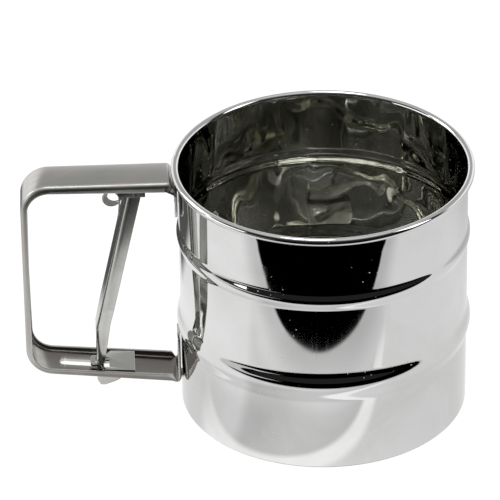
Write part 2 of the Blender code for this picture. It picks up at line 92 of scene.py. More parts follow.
CUP_SHEET = 0.5
RIM_HALF_HEIGHT = 1.35
RIM_HALF_WIDTH = 1.35
WALL = RIM_RADIUS - 2 * RIM_HALF_WIDTH + CUP_SHEET / 2
CURL_START = CUP_HEIGHT - RIM_HALF_HEIGHT - 0.4
BEADS = ((32.2, 1.25, 6.0), (66.2, 0.85, 3.5))
SEAM_ANGLE = 171.0
SEAM_HALF_ANGLE = 0.3
SEAM_FADE_ANGLE = 16
SEAM_STEP = 0.16

# Sieve and agitator

RING_WIDTH = 3.2
RING_SHEET = 0.6
WEAVE_PITCH = 1.4
WEAVE_WIRE_RADIUS = 0.15
WEAVE_SAMPLES = 4
AXLE_RADIUS = 2.0
HUB_RADIUS = 12.5
HUB_EAR_RADIUS = 4.2
CRANK_PIN_RADIUS = 1.5
BLADE_REACH = 44.5
BLADE_SHEET = 0.8
BLADE_FIRST_ANGLE = 60
PIVOT_PLAY = 0.3

# Handle

HANDLE_SHEET = 1.0
UPPER_LEG_Z = in_mm(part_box("handle_strip")[1].z) - HANDLE_SHEET / 2
FLANGE_X = -50.8
LOWER_LEG_Z_AT_WALL = 9.75
LOWER_LEG_RISE = 0.1087
HANDLE_CORNER = 9.5
LIP_AT_GRIP = 1.9
LIP_AT_CUP = 3.5
GUIDE_SLOT = (-92.8, -67.2)
GUIDE_SLOT_HALF_WIDTH = 1.85
BRACKET_SHEET = 0.7
LEVER_PIN_RADIUS = 0.8
LEVER_BORE_RADIUS = 0.95

# Trigger, spring and link

TRIGGER_SHEET = 0.9
TRIGGER_BEND = 2.4
TRIGGER_KNEE_Z = 32
TRIGGER_NARROWS_Z = 38
TONGUE_STEP = (14.9, 15.7)
TONGUE_HALF_WIDTH = 1.1
FOOT_SHEET = 2.0
COIL_CENTRE = Vector((-73.1, -3.4, 82.0))
COIL_PITCH = Vector((0.35, 0.92, 0))
COIL_RADIUS = 2.9
SPRING_WIRE_RADIUS = 0.3
LINK_SHEET = 0.9
LINK_TIP_X = -82.0
NECK_X = -68.3
NECK_HALF_WIDTH = 1.4
STRIP_HALF_WIDTH = 2.5
HEAD_SLOPE = 0.055
EYE_RADIUS = 1.85
LINK_DECK_Z = HUB_HIGH + 1.4


# Mesh helpers


def new_object(name, mesh, material, smooth_below=35):
    """Object from a mesh in millimetres about the cup's axis, put in place in metres."""
    mesh.transform(Matrix.Translation((CUP_X, 0, 0)) @ Matrix.Scale(MM, 4))
    mesh.shade_smooth()
    mesh.set_sharp_from_angle(angle=radians(smooth_below))
    mesh.materials.clear()
    mesh.materials.append(material)
    piece = bpy.data.objects.new(name, mesh)
    bpy.context.scene.collection.objects.link(piece)
    return piece


def mesh_from_bmesh(name, mesh_data, merge=0.001):
    """Mesh with close points merged, slivers dissolved and all faces turned outwards."""
    bmesh.ops.remove_doubles(mesh_data, verts=mesh_data.verts, dist=merge)
    bmesh.ops.dissolve_degenerate(mesh_data, edges=mesh_data.edges, dist=merge / 2)
    bmesh.ops.recalc_face_normals(mesh_data, faces=mesh_data.faces)
    mesh = bpy.data.meshes.new(name)
    mesh_data.to_mesh(mesh)
    mesh_data.free()
    return mesh


def arc(centre, half_axes, start, end, steps):
    """Points of an ellipse's arc between two angles in degrees."""
    angles = np.radians(np.linspace(start, end, steps + 1))
    return [(centre[0] + half_axes[0] * cos(a), centre[1] + half_axes[1] * sin(a)) for a in angles]


def rounded(corners, radii, steps=8):
    """A path through 2D corners, each inner corner turned on its radius."""
    spots = [Vector(corner) for corner in corners]
    path = [spots[0]]
    for before, corner, after, radius in zip(spots, spots[1:], spots[2:], radii):
        if radius == 0:
            path.append(corner)
            continue
        back = (before - corner).normalized()
        ahead = (after - corner).normalized()
        half_turn = (pi - back.angle(ahead)) / 2
        centre = corner + (back + ahead).normalized() * radius / cos(half_turn)
        first = (corner + back * radius * tan(half_turn) - centre).normalized()
        last = (corner + ahead * radius * tan(half_turn) - centre).normalized()
        path += [centre + first.slerp(last, step / steps) * radius for step in range(steps + 1)]
    path.append(spots[-1])
    return path


def rounded_loop(corners, radius, steps=4):
    """A closed 2D outline with all its corners rounded."""
    ring = [corners[-1], *corners, corners[0]]
    return rounded(ring, [radius] * len(corners), steps)[1:-1]


def turned(name, outline, segments=128, centre=(0, 0)):
    """Solid of revolution from a closed (radius, z) outline."""
    mesh_data = bmesh.new()
    angles = [2 * pi * step / segments for step in range(segments)]
    rings = []
    for a in angles:
        spots = [(centre[0] + r * cos(a), centre[1] + r * sin(a), z) for r, z in outline]
        rings.append([mesh_data.verts.new(spot) for spot in spots])
    for index, ring in enumerate(rings):
        following = rings[(index + 1) % segments]
        for low in range(len(outline)):
            high = (low + 1) % len(outline)
            if outline[low][0] < 1e-6 and outline[high][0] < 1e-6:
                continue
            mesh_data.faces.new((ring[low], following[low], following[high], ring[high]))
    return mesh_from_bmesh(name, mesh_data)


def loft(name, sections):
    """Closed body through sections that have the same number of points."""
    mesh_data = bmesh.new()
    rings = [[mesh_data.verts.new(point) for point in section] for section in sections]
    for ring, following in zip(rings, rings[1:]):
        for index in range(len(ring)):
            after = (index + 1) % len(ring)
            mesh_data.faces.new((ring[index], ring[after], following[after], following[index]))
    mesh_data.faces.new(rings[0][::-1])
    mesh_data.faces.new(rings[-1])
    return mesh_from_bmesh(name, mesh_data)


def plate(name, outline, thickness, plane="XZ", offset=0.0, holes=(), edge=0.12):
    """Flat plate with rounded edges from a closed outline, centred on its plane."""
    curve = bpy.data.curves.new(name, "CURVE")
    curve.dimensions = "2D"
    curve.fill_mode = "BOTH"
    curve.extrude = thickness / 2 - edge
    curve.bevel_depth = edge
    curve.bevel_resolution = 2
    curve.offset = -edge
    for loop in (outline, *holes):
        spline = curve.splines.new("POLY")
        spline.points.add(len(loop) - 1)
        for point, (across, up) in zip(spline.points, loop):
            point.co = (across, up, 0, 1)
        spline.use_cyclic_u = True
    turns = {
        "XY": Matrix.Translation((0, 0, offset)),
        "XZ": Matrix.Translation((0, offset, 0)) @ Matrix.Rotation(pi / 2, 4, "X"),
        "YZ": Matrix(((0, 0, 1, offset), (1, 0, 0, 0), (0, 1, 0, 0), (0, 0, 0, 1))),
    }
    return mesh_of(bpy.data.objects.new(name, curve), turns[plane])


def mesh_of(source, matrix=Matrix.Identity(4)):
    """The evaluated mesh of an object, which is then removed."""
    bpy.context.scene.collection.objects.link(source)
    bpy.context.view_layer.update()
    depsgraph = bpy.context.evaluated_depsgraph_get()
    evaluated = bpy.data.meshes.new_from_object(source.evaluated_get(depsgraph))
    mesh_data = bmesh.new()
    mesh_data.from_mesh(evaluated)
    mesh_data.transform(matrix)
    bpy.data.meshes.remove(evaluated)
    name = source.name
    bpy.data.objects.remove(source, do_unlink=True)
    return mesh_from_bmesh(name, mesh_data)


def combined(mesh, operation, *others):
    """The mesh after exact Booleans with the others."""
    base = bpy.data.objects.new(mesh.name, mesh)
    tools = [bpy.data.objects.new("tool", other) for other in others]
    for tool in tools:
        bpy.context.scene.collection.objects.link(tool)
        modifier = base.modifiers.new("boolean", "BOOLEAN")
        modifier.operation = operation
        modifier.solver = "EXACT"
        modifier.object = tool
    result = mesh_of(base)
    for tool in tools:
        bpy.data.objects.remove(tool, do_unlink=True)
    return result


def block(low, high):
    """Box between two opposite corners."""
    mesh_data = bmesh.new()
    bmesh.ops.create_cube(mesh_data, size=1)
    size = [far - near for near, far in zip(low, high)]
    middle = [(far + near) / 2 for near, far in zip(low, high)]
    mesh_data.transform(Matrix.Translation(middle) @ Matrix.Diagonal((*size, 1)))
    return mesh_from_bmesh("block", mesh_data)


def rod(radius, start, end, segments=32):
    """Round bar between two points."""
    start, end = Vector(start), Vector(end)
    mesh_data = bmesh.new()
    length = (end - start).length
    bmesh.ops.create_cone(
        mesh_data, cap_ends=True, segments=segments, radius1=radius, radius2=radius, depth=length
    )
    turn = (end - start).to_track_quat("Z", "Y").to_matrix().to_4x4()
    mesh_data.transform(Matrix.Translation((start + end) / 2) @ turn)
    return mesh_from_bmesh("rod", mesh_data)


def belt(centre_a, radius_a, centre_b, radius_b, steps=24):
    """Outline of two discs in a plane and the straight sides that touch both."""
    a, b = Vector(centre_a), Vector(centre_b)
    span = b - a
    heading = np.arctan2(span.y, span.x)
    lean = np.arccos((radius_a - radius_b) / span.length)
    outline = []
    for step in range(steps + 1):
        angle = heading + lean + (2 * pi - 2 * lean) * step / steps
        outline.append((a.x + radius_a * cos(angle), a.y + radius_a * sin(angle)))
    for step in range(steps + 1):
        angle = heading - lean + 2 * lean * step / steps
        outline.append((b.x + radius_b * cos(angle), b.y + radius_b * sin(angle)))
    return outline


def circle(centre, radius, segments=48):
    return arc(centre, (radius, radius), 0, 360 * (segments - 1) / segments, segments - 1)


def place(name, mesh, material, body, nodes, smooth_below=35):
    """Make the piece that stands for CAD nodes and let it ride on their body."""
    piece = new_object(name, mesh, material, smooth_below)
    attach(piece, body)
    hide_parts(*nodes)
    return piece


# Materials


class Nodes:
    """A metal's node tree: short calls that add a node and link it up."""

    def __init__(self, name, metallic=1.0):
        self.material = bpy.data.materials.new(name)
        self.material.use_nodes = True
        self.tree = self.material.node_tree
        self.shader = self.tree.nodes["Principled BSDF"]
        self.shader.inputs["Metallic"].default_value = metallic
        self.place = self.tree.nodes.new("ShaderNodeTexCoord").outputs["Object"]

    def link(self, source, target):
        self.tree.links.new(source, target)

    def stretch(self, scale):
        mapping = self.tree.nodes.new("ShaderNodeMapping")
        mapping.inputs["Scale"].default_value = scale
        self.link(self.place, mapping.inputs["Vector"])
        return mapping.outputs["Vector"]

    def noise(self, scale, detail=3.0, roughness=0.5, stretch=None, distortion=0.0):
        node = self.tree.nodes.new("ShaderNodeTexNoise")
        node.inputs["Scale"].default_value = scale
        node.inputs["Detail"].default_value = detail
        node.inputs["Roughness"].default_value = roughness
        node.inputs["Distortion"].default_value = distortion
        self.link(self.stretch(stretch) if stretch else self.place, node.inputs["Vector"])
        return node.outputs["Fac"]

    def spots(self, scale, size):
        """1 inside small scattered round spots, 0 elsewhere."""
        node = self.tree.nodes.new("ShaderNodeTexVoronoi")
        node.inputs["Scale"].default_value = scale
        self.link(self.place, node.inputs["Vector"])
        return self.ramp(node.outputs["Distance"], size * 0.6, size, 1.0, 0.0)

    def ramp(self, value, low, high, to_low, to_high):
        node = self.tree.nodes.new("ShaderNodeMapRange")
        node.interpolation_type = "SMOOTHSTEP"
        node.inputs["From Min"].default_value = low
        node.inputs["From Max"].default_value = high
        node.inputs["To Min"].default_value = to_low
        node.inputs["To Max"].default_value = to_high
        self.link(value, node.inputs["Value"])
        return node.outputs["Result"]

    def step(self, value, low, high):
        """0 below low and 1 above high; the other way round when low is the larger."""
        return self.ramp(value, low, high, 0.0, 1.0)

    def axes(self):
        split = self.tree.nodes.new("ShaderNodeSeparateXYZ")
        self.link(self.place, split.inputs["Vector"])
        return split.outputs

    def math(self, operation, first, second=0.0):
        node = self.tree.nodes.new("ShaderNodeMath")
        node.operation = operation
        for socket, value in zip(node.inputs, (first, second)):
            if isinstance(value, (int, float)):
                socket.default_value = value
            else:
                self.link(value, socket)
        return node.outputs["Value"]

    def mix(self, factor, first, second):
        node = self.tree.nodes.new("ShaderNodeMix")
        node.data_type = "RGBA"
        self.link(factor, node.inputs["Factor"])
        for socket, value in ((node.inputs["A"], first), (node.inputs["B"], second)):
            if isinstance(value, tuple):
                socket.default_value = (*value, 1.0)
            else:
                self.link(value, socket)
        return node.outputs["Result"]

    def total(self, first, *others):
        for other in others:
            first = self.math("ADD", first, other)
        return first

    def product(self, first, *others):
        for other in others:
            first = self.math("MULTIPLY", first, other)
        return first

    def complement(self, value):
        return self.math("SUBTRACT", 1.0, value)

    def bump(self, *layers):
        """Chain bump layers, each (height, distance in mm, strength)."""
        normal = None
        for height, distance, strength in layers:
            node = self.tree.nodes.new("ShaderNodeBump")
            node.inputs["Distance"].default_value = distance * MM
            node.inputs["Strength"].default_value = strength
            self.link(height, node.inputs["Height"])
            if normal is not None:
                self.link(normal, node.inputs["Normal"])
            normal = node.outputs["Normal"]
        self.link(normal, self.shader.inputs["Normal"])

    def edges(self, low=0.52, high=0.6):
        """1 on convex edges, 0 on flat faces."""
        geometry = self.tree.nodes.new("ShaderNodeNewGeometry")
        return self.step(geometry.outputs["Pointiness"], low, high)


def polished_steel(name, light, shade, ripple, ripple_scale):
    """Mirror-bright rolled sheet: ripples, hairline scratches, dust specks and dull smears; the smears also
    set a tint between light and shade, which inside the cup is painted reflection streaks.
    """
    n = Nodes(name)
    smear_and_painted_streaks = n.noise(22, 4, 0.6, distortion=1.2)
    hairlines = n.noise(60, 2, 0.5, stretch=(14, 14, 0.6))
    specks = n.product(n.spots(520, 0.13), n.step(n.noise(60, 2), 0.5, 0.6))
    n.link(n.complement(n.product(specks, 0.6)), n.shader.inputs["Metallic"])
    # Tint between light and shade: a faint tone outside, painted reflection streaks inside the cup
    tint = n.mix(n.step(smear_and_painted_streaks, 0.35, 0.7), light, shade)
    n.link(n.mix(specks, tint, (0.85, 0.85, 0.83)), n.shader.inputs["Base Color"])
    rough = n.total(n.ramp(smear_and_painted_streaks, 0.4, 0.75, 0.025, 0.075), n.ramp(hairlines, 0.55, 0.75, 0.0, 0.03))
    n.link(n.total(rough, n.product(specks, 0.4)), n.shader.inputs["Roughness"])
    ripples = n.noise(ripple_scale, 1, 0.4, stretch=(1, 1, 0.5), distortion=0.4)
    n.bump((ripples, ripple, 0.35), (hairlines, 0.004, 0.4), (specks, 0.02, 0.5))
    return n.material


def satin_steel():
    """Duller strip steel of the handle: cloudy greenish and brownish greys, fine drawing lines,
    brighter edges, lips rubbed matt and painted shade darkening the lower leg."""
    n = Nodes("satin_steel")
    cloud = n.noise(55, 5, 0.6, distortion=0.8)
    grain = n.noise(240, 3, 0.6, stretch=(0.12, 3, 0.12))
    fine = n.noise(2600, 2, 0.5)
    cool = n.mix(n.step(cloud, 0.3, 0.7), (0.47, 0.485, 0.455), (0.5, 0.465, 0.445))
    worn = n.mix(n.ramp(grain, 0.3, 0.8, 0.0, 0.35), cool, (0.36, 0.355, 0.34))
    x, y, z = n.axes()
    lip = n.step(n.math("ABSOLUTE", y), (HANDLE_HALF_WIDTH - 2.6) * MM, (HANDLE_HALF_WIDTH - 1.0) * MM)
    # Painted shade: the handle below 22 mm on the grip side, the lower leg and its channel, is darkened as if
    # shaded
    dark_patches = n.product(n.step(z, 0.022, 0.015), n.step(x, -0.022, -0.026), n.ramp(cloud, 0.2, 0.6, 0.6, 0.9))
    worn_with_painted_shade = n.mix(dark_patches, worn, (0.2, 0.185, 0.17))
    n.link(n.mix(n.edges(), worn_with_painted_shade, (0.85, 0.85, 0.82)), n.shader.inputs["Base Color"])
    rough = n.total(n.ramp(cloud, 0.3, 0.75, 0.13, 0.2), n.ramp(grain, 0.3, 0.8, 0.0, 0.06))
    n.link(n.total(rough, n.product(lip, 0.24)), n.shader.inputs["Roughness"])
    n.shader.inputs["Anisotropic"].default_value = 0.35
    n.bump((cloud, 0.08, 0.3), (grain, 0.012, 0.6), (fine, 0.003, 0.5))
    return n.material


def lever_steel():
    """Pressed strip of the lever, its bracket and the link: even grey, brighter along the edges."""
    n = Nodes("lever_steel")
    cloud = n.noise(80, 4, 0.6, distortion=0.6)
    grain = n.noise(300, 3, 0.6, stretch=(3, 3, 0.15))
    tint = n.mix(n.step(cloud, 0.3, 0.7), (0.5, 0.505, 0.48), (0.42, 0.41, 0.39))
    n.link(n.mix(n.edges(), tint, (0.8, 0.8, 0.78)), n.shader.inputs["Base Color"])
    n.link(n.ramp(cloud, 0.3, 0.75, 0.16, 0.24), n.shader.inputs["Roughness"])
    n.bump((cloud, 0.05, 0.3), (grain, 0.008, 0.5))
    return n.material


def bright_steel():
    """Stamped and turned small parts: bright with faint tool marks and grey handling stains."""
    n = Nodes("bright_steel")
    dark_patches = n.noise(130, 4, 0.6)
    marks = n.noise(900, 2, 0.5, stretch=(1, 1, 0.1))
    tint = n.mix(n.step(dark_patches, 0.35, 0.7), (0.62, 0.62, 0.6), (0.46, 0.455, 0.43))
    n.link(n.mix(n.edges(), tint, (0.74, 0.74, 0.72)), n.shader.inputs["Base Color"])
    n.link(n.ramp(dark_patches, 0.3, 0.75, 0.12, 0.28), n.shader.inputs["Roughness"])
    n.bump((dark_patches, 0.05, 0.3), (marks, 0.004, 0.5))
    return n.material


def spring_wire():
    """Drawn wire with fine die lines and a slightly smoky patch here and there."""
    n = Nodes("spring_wire")
    smoke = n.noise(300, 3, 0.6)
    lines = n.noise(1800, 2, 0.5)
    tint = n.mix(n.step(smoke, 0.4, 0.7), (0.6, 0.6, 0.58), (0.42, 0.41, 0.39))
    n.link(tint, n.shader.inputs["Base Color"])
    n.link(n.ramp(smoke, 0.3, 0.7, 0.06, 0.14), n.shader.inputs["Roughness"])
    n.bump((lines, 0.003, 0.5))
    return n.material


def sieve_wire():
    """Fine dull wire, greyer where flour dust has settled in the weave."""
    n = Nodes("sieve_wire")
    dull = n.noise(70, 4, 0.6)
    grit = n.noise(4000, 2, 0.5)
    tint = n.mix(n.step(dull, 0.3, 0.7), (0.5, 0.5, 0.47), (0.38, 0.375, 0.35))
    n.link(tint, n.shader.inputs["Base Color"])
    n.link(n.ramp(dull, 0.3, 0.75, 0.25, 0.4), n.shader.inputs["Roughness"])
    n.bump((grit, 0.004, 0.5))
    return n.material


# Cup


def cup_profile():
    """(radius, z) centre line of the cup's sheet, from the base edge to the tip of the rim's curl."""
    curl_centre = (WALL - CUP_SHEET / 2 + RIM_HALF_WIDTH, CUP_HEIGHT - RIM_HALF_HEIGHT)
    curl_axes = (RIM_HALF_WIDTH - CUP_SHEET / 2, RIM_HALF_HEIGHT - CUP_SHEET / 2)
    heights = set(np.arange(0.0, curl_centre[1] - 0.4, 1.5)) | {SLOT_LOW, SLOT_HIGH}
    for bead_z, _, half_height in BEADS:
        heights |= set(np.linspace(bead_z - half_height - 1, bead_z + half_height + 1, 45))
    profile = []
    for z in sorted(heights):
        swell = 0.0
        for bead_z, bead_height, half_height in BEADS:
            share = min(1.0, abs(z - bead_z) / half_height)
            swell += bead_height * (1 + cos(pi * share)) / 2
        profile.append((WALL + swell, z))
    return profile + arc(curl_centre, curl_axes, 180, -105, 26)


SLOT_LOW = LOWER_LEG_Z_AT_WALL - 2.3
SLOT_HIGH = SLOT_LOW + 1.8
SLOT_HALF_ANGLE = degrees(2.9 / WALL)


def cup_angles():
    """Columns of the cup's sheet in degrees, closer together at the seam and on the slot's ends."""
    angles = set(np.arange(0.0, 360.0, 1.2))
    angles |= {180 - SLOT_HALF_ANGLE, 180 + SLOT_HALF_ANGLE}
    angles |= set(np.linspace(SEAM_ANGLE - 2 * SEAM_HALF_ANGLE, SEAM_ANGLE + 2 * SEAM_HALF_ANGLE, 9))
    return sorted(angles)


def seam_offset(angle):
    """The lapped edge stands proud at the seam and dies away behind it."""
    past = (angle - SEAM_ANGLE + 180) % 360 - 180
    step = float(np.clip((past + SEAM_HALF_ANGLE) / (2 * SEAM_HALF_ANGLE), 0, 1))
    return step * np.exp(-max(0.0, past) / SEAM_FADE_ANGLE)


def sheet_ripple(angle, z):
    """Slow dents of a fraction of a tenth of a millimetre left by rolling and beading."""
    a = radians(angle)
    return (
        0.030 * sin(3 * a + z * 0.05 + 1.0)
        + 0.016 * sin(7 * a - z * 0.09)
        + 0.010 * sin(11 * a + z * 0.16 + 2.0)
        + 0.006 * sin(17 * a - z * 0.21 + 0.5)
    )


def cup_column(angle, profile):
    """The sheet's middle up one side of the cup, with its dents and the seam's step in the rim."""
    a = radians(angle)
    lap = seam_offset(angle)
    column = []
    for radius, z in profile:
        flat = min(1.0, z / 12.0) * min(1.0, max(0.0, (CUP_HEIGHT - z) / 6.0))
        out = radius + sheet_ripple(angle, z) * flat
        if z > CURL_START:
            out += SEAM_STEP * lap * min(1.0, radius - WALL)
        column.append((out * cos(a), out * sin(a), z))
    return column


def cup_surface():
    """The sheet's middle all round, left open at the link's slot."""
    profile = cup_profile()
    angles = cup_angles()
    mesh_data = bmesh.new()
    columns = [[mesh_data.verts.new(spot) for spot in cup_column(angle, profile)] for angle in angles]
    for index, column in enumerate(columns):
        following = columns[(index + 1) % len(columns)]
        middle = angles[index] + ((angles[(index + 1) % len(angles)] - angles[index]) % 360) / 2
        for low in range(len(profile) - 1):
            z_middle = (profile[low][1] + profile[low + 1][1]) / 2
            in_slot = abs(middle - 180) < SLOT_HALF_ANGLE and SLOT_LOW < z_middle < SLOT_HIGH
            if not in_slot:
                mesh_data.faces.new((column[low], following[low], following[low + 1], column[low + 1]))
    return mesh_from_bmesh("cup_sheet", mesh_data, merge=0.0001)


def build_cup(outside, inside):
    """The rolled sheet with its rim and beads, in a second steel on the inside whose strong tint is painted
    reflection streaks.
    """
    shell = bpy.data.objects.new("cup_sheet", cup_surface())
    thicken = shell.modifiers.new("sheet", "SOLIDIFY")
    thicken.thickness = CUP_SHEET
    thicken.offset = 0
    thicken.use_even_offset = True
    piece = place("cup_sheet", mesh_of(shell), outside, "cup", ["cup_shell"], 50)
    piece.data.materials.append(inside)
    for polygon in piece.data.polygons:
        outward = (polygon.center - Vector((CUP_X, 0, polygon.center.z))).dot(polygon.normal)
        if outward < 0 and polygon.center.z < CURL_START * MM:
            polygon.material_index = 1


def build_screen_ring(material):
    """Pressed channel ring that grips the sieve's edge."""
    low, high = (in_mm(corner.z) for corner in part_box("screen_ring"))
    outer = in_mm(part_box("screen_ring")[1].y)
    inner = outer - RING_WIDTH
    sheet = RING_SHEET
    channel = [
        (outer, high), (inner, high), (inner, high - sheet), (outer - sheet, high - sheet),
        (outer - sheet, low + sheet), (inner, low + sheet), (inner, low), (outer, low),
    ]
    mesh = turned("screen_ring_rolled", rounded_loop(channel, 0.18), 192)
    place("screen_ring_rolled", mesh, material, "cup", ["screen_ring"])


# Woven sieve


def wire_runs(position, number):
    """Stretches of one wire, as (along, height) samples, inside the ring and clear of the rivet."""
    step = WEAVE_PITCH / WEAVE_SAMPLES
    crimp = WEAVE_WIRE_RADIUS * 0.95
    reach = sqrt(max(0.0, SIEVE_RADIUS**2 - position**2))
    count = int(reach / step)
    runs = [[]]
    for index in range(-count, count + 1):
        along = index * step
        if hypot(along, position) < AXLE_RADIUS + 0.5:
            runs.append([])
            continue
        runs[-1].append((along, crimp * cos(pi * along / WEAVE_PITCH + pi * number)))
    return [run for run in runs if len(run) > 1]


def wire_corners(position, along, height, crosswise):
    """Four points round a wire, in a square on its corner."""
    z = SIEVE_Z + (-height if crosswise else height)
    corners = []
    for side, up in ((1, 0), (0, 1), (-1, 0), (0, -1)):
        across = position + side * WEAVE_WIRE_RADIUS
        x, y = (across, along) if crosswise else (along, across)
        corners.append((x, y, z + up * WEAVE_WIRE_RADIUS))
    return corners


def add_wire(vertices, faces, samples):
    """Skin one wire through its samples and close both ends."""
    first = len(vertices)
    for corners in samples:
        vertices.extend(corners)
    last = len(vertices) - 4
    for base in range(first, last, 4):
        for side in range(4):
            after = (side + 1) % 4
            faces.append((base + side, base + 4 + side, base + 4 + after, base + after))
    faces.append((first, first + 1, first + 2, first + 3))
    faces.append((last + 3, last + 2, last + 1, last))


def build_sieve(material):
    """Plain woven wire cloth: every wire passes over and under its neighbours in turn."""
    vertices = []
    faces = []
    half_count = int(SIEVE_RADIUS / WEAVE_PITCH)
    for crosswise in (False, True):
        for number in range(-half_count, half_count + 1):
            position = number * WEAVE_PITCH
            for run in wire_runs(position, number):
                add_wire(vertices, faces, [wire_corners(position, *sample, crosswise) for sample in run])
    mesh = bpy.data.meshes.new("sieve_weave")
    mesh.from_pydata(vertices, [], faces)
    place("sieve_weave", mesh, material, "cup", ["mesh_screen"], 80)


# Agitator


def build_washers(material):
    """Thin rings on the centre rivet and on the crank pin."""
    for node, centre, body in (
        ("under_washer", (0, 0), "cup"), ("spacer_tube", (0, 0), "cup"), ("top_washer", (0, 0), "cup"),
        ("crank_washer", tuple(CRANK), "agitator"),
    ):
        corner_low, corner_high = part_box(node)
        low, high = in_mm(corner_low.z), in_mm(corner_high.z)
        outer = in_mm(corner_high.x - corner_low.x) / 2
        inner = CRANK_PIN_RADIUS + 0.2 if body == "agitator" else AXLE_RADIUS + PIVOT_PLAY
        corners = [(outer, high), (inner, high), (inner, low), (outer, low)]
        ring = rounded_loop(corners, min(0.14, (high - low) / 3))
        place(f"{node}_turned", turned(node, ring, 96, centre), material, body, [node])


def headed_pin(shank, head, foot, low, high, top, centre):
    """Rivet with a peened lower head and a domed upper head."""
    rise = top - high
    dome = [(head * sin(t), high + rise * 0.35 + rise * 0.65 * cos(t)) for t in np.linspace(0, pi / 2, 9)]
    peen = [(head * (1 - 0.18 * t * t), low - (low - foot) * t) for t in np.linspace(0, 1, 5)]
    outline = [*dome, (head, high + 0.08), (head - 0.08, high), (shank, high), (shank, low), *peen, (0, foot)]
    return turned("pin", outline[::-1], 96, centre)


def build_pins(steel):
    """Centre rivet through sieve and hub, and the crank pin in the hub's ear."""
    foot, top = (in_mm(corner.z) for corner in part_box("centre_rivet"))
    rivet = headed_pin(AXLE_RADIUS, 3.6, foot, foot + 1.0, HUB_HIGH + 1.2, top, (0, 0))
    place("centre_rivet_peened", rivet, steel, "cup", ["centre_rivet"])
    foot, top = in_mm(PIN_LOW.z), in_mm(PIN_HIGH.z)
    pin = headed_pin(CRANK_PIN_RADIUS, 2.5, foot, HUB_LOW - 0.3, HUB_LOW + 5.1, top, tuple(CRANK))
    place("crank_pin_turned", pin, steel, "agitator", ["crank_pin"])


def build_agitator(steel):
    """Stamped hub with the crank's ear, and four vanes with a tab bent under the hub."""
    holes = (circle((0, 0), AXLE_RADIUS + PIVOT_PLAY), circle(CRANK, CRANK_PIN_RADIUS + PIVOT_PLAY))
    outline = belt((0, 0), HUB_RADIUS, CRANK, HUB_EAR_RADIUS, 48)
    hub = plate("hub", outline, HUB_HIGH - HUB_LOW, "XY", (HUB_HIGH + HUB_LOW) / 2, holes, 0.2)
    place("agitator_hub_stamped", hub, steel, "agitator", ["agitator_hub"])

    start, low, tab_top = AXLE_RADIUS + 3.6, SIEVE_Z + 0.25 + 0.5, HUB_LOW - 0.3
    vane_outline = [
        (start, low), (BLADE_REACH, low), (BLADE_REACH, low + 3.2), (14.5, tab_top), (start, tab_top),
    ]
    tab_outline = [(start, -0.2), (11.5, -0.2), (11.5, 4.2), (start, 4.2)]
    for number in range(1, 5):
        vane = plate("vane", rounded_loop(vane_outline, 0.6), BLADE_SHEET, edge=0.15)
        tab = plate("tab", rounded_loop(tab_outline, 0.5), BLADE_SHEET - 0.02, "XY", tab_top - 0.4, edge=0.12)
        blade = combined(vane, "UNION", tab)
        blade.transform(Matrix.Rotation(radians(BLADE_FIRST_ANGLE + 90 * number), 4, "Z"))
        node = f"agitator_blade_{number}"
        place(f"{node}_bent", blade, steel, "agitator", [node])


# Handle


def channel_outline(half, depth, sheet, bend, steps=6):
    """(depth, across) outline of a bent channel whose lips reach depth from its outer face."""
    tip = 0.16 * sheet
    lip = max(0.0, depth - sheet)
    inner = min(bend, lip)
    outer = min(bend + sheet, depth - tip)
    inner_tip = min(tip, lip)
    turns = [pi / 2 * step / steps for step in range(steps + 1)]
    side = [(outer - outer * cos(t), half - outer + outer * sin(t)) for t in turns]
    side += [(depth - tip, half), (depth, half - tip)]
    side += [(depth, half - sheet + inner_tip), (depth - inner_tip, half - sheet)]
    side += [(sheet + inner - inner * sin(t), half - sheet - inner + inner * cos(t)) for t in turns]
    return side + [(deep, -across) for deep, across in reversed(side)]


def path_normals(path):
    """Unit normals on the right-hand side of a 2D path."""
    normals = []
    for index in range(len(path)):
        along = path[min(index + 1, len(path) - 1)] - path[max(index - 1, 0)]
        normals.append(Vector((along[1], -along[0])).normalized())
    return normals


def section_at(spot, inwards, outline):
    """A (depth, across) outline stood square to a path at one spot."""
    section = []
    for deep, across in outline:
        x, z = spot + inwards * deep
        section.append((x, across, z))
    return section


def densify(path, step):
    """Add points along straight stretches so that none is longer than step."""
    dense = [path[0]]
    for before, after in zip(path, path[1:]):
        count = max(1, int((after - before).length / step))
        dense += [before.lerp(after, index / count) for index in range(1, count + 1)]
    return dense


def lower_leg_z(x):
    """Middle of the lower leg, which rises towards the grip."""
    return LOWER_LEG_Z_AT_WALL + (FLANGE_X - x) * LOWER_LEG_RISE


def strip_half_width(spot):
    """The strip keeps its width, apart from clipped corners above and a tapered tab below."""
    x, z = spot
    on_flange = x > FLANGE_X - 0.2
    if on_flange and z > 60:
        return HANDLE_HALF_WIDTH - max(0.0, 77.6 - z)
    if on_flange and z > 11:
        return 3.0 + (HANDLE_HALF_WIDTH - 3.0) * sqrt(max(0.0, (27 - z) / 16))
    return HANDLE_HALF_WIDTH


def lip_depth(spot, share):
    """Lips are deep at the cup and shallow along the grip; there are none on the end flanges."""
    deep = LIP_AT_GRIP + (LIP_AT_CUP - LIP_AT_GRIP) * abs(2 * share - 1) ** 1.2
    ease = min(1.0, max(0.0, (-51.9 - spot[0]) / 1.6))
    ease = ease * ease * (3 - 2 * ease)
    return HANDLE_SHEET + (deep - HANDLE_SHEET) * ease


def handle_path():
    """Middle of the strip from the upper flange round the grip to the lower flange."""
    grip_x = GRIP_X + HANDLE_SHEET / 2
    corners = [
        (FLANGE_X, 75.6), (FLANGE_X, 85.2), (-52.7, 87.2), (-52.7, UPPER_LEG_Z),
        (grip_x, UPPER_LEG_Z), (grip_x, lower_leg_z(grip_x)),
        (-53.5, lower_leg_z(-53.5)), (FLANGE_X, LOWER_LEG_Z_AT_WALL), (FLANGE_X, 27),
    ]
    radii = [1.5, 1.2, 1.2, HANDLE_CORNER, HANDLE_CORNER, 0, 1.2]
    return densify(rounded(corners, radii, 14), 1.2)


